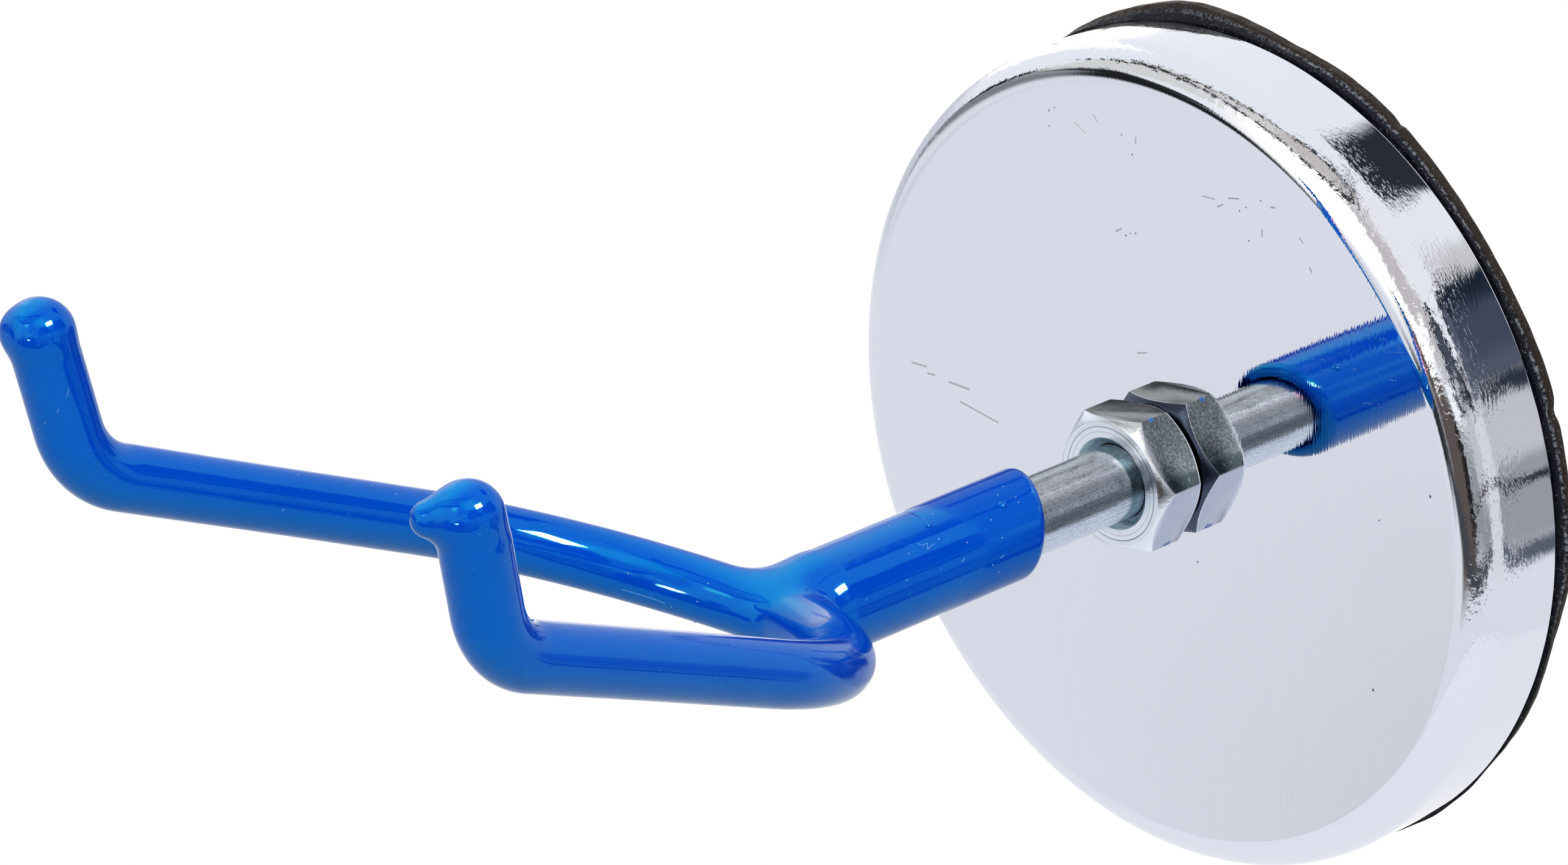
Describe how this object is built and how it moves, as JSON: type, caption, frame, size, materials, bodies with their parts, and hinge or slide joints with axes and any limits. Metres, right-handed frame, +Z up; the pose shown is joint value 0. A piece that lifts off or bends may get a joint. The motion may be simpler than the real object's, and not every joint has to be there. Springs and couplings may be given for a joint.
{
  "type": "magnetic holder",
  "caption": "Round pot magnet with a rubber face, carrying a dipped wire fork on a bar with a lock nut, for hanging things on steel.",
  "frame": {"origin": "centre of the pad's contact face, on the axis of the cup and the bar", "axes": "+Y into the wall that the pad lies against, -Y out along the bar, +Z up with the prongs pitching upwards, +X to the right seen from the front"},
  "size_m": [0.0922, 0.1343, 0.0922],
  "materials": {
    "chrome": "bright chrome plate on pressed steel, with small pits and scratches",
    "rubber": "moulded black rubber with a soft sheen and a slightly wavy edge",
    "ferrite": "matt sintered ferrite",
    "core_iron": "turned soft iron",
    "resin": "cast epoxy",
    "zinc": "bright zinc plate over drawn and turned steel",
    "weld": "plain weld metal",
    "blue_pvc": "glossy dipped soft vinyl with a few pits and bubbles"
  },
  "bodies": {
    "base": {"cup": "chrome", "pad": "rubber", "ring_magnet": "ferrite", "pole_core": "core_iron", "inner_potting_ring": "resin", "outer_potting_ring": "resin"},
    "hook": {"shaft": "zinc", "fork": "zinc", "weld_bead": "weld", "dip_coating": "blue_pvc"},
    "nut": {"lock_nut": "zinc"}
  },
  "joints": [
    {"name": "hook_turn", "type": "hinge", "parent": "base", "child": "hook", "pos_m": [0, -0.0132, 0], "axis": [0, -1, 0], "range_deg": [-180, 180]},
    {"name": "nut_turn", "type": "hinge", "parent": "hook", "child": "nut", "pos_m": [0, -0.0132, 0], "axis": [0, -1, 0], "range_deg": [0, 180]}
  ]
}
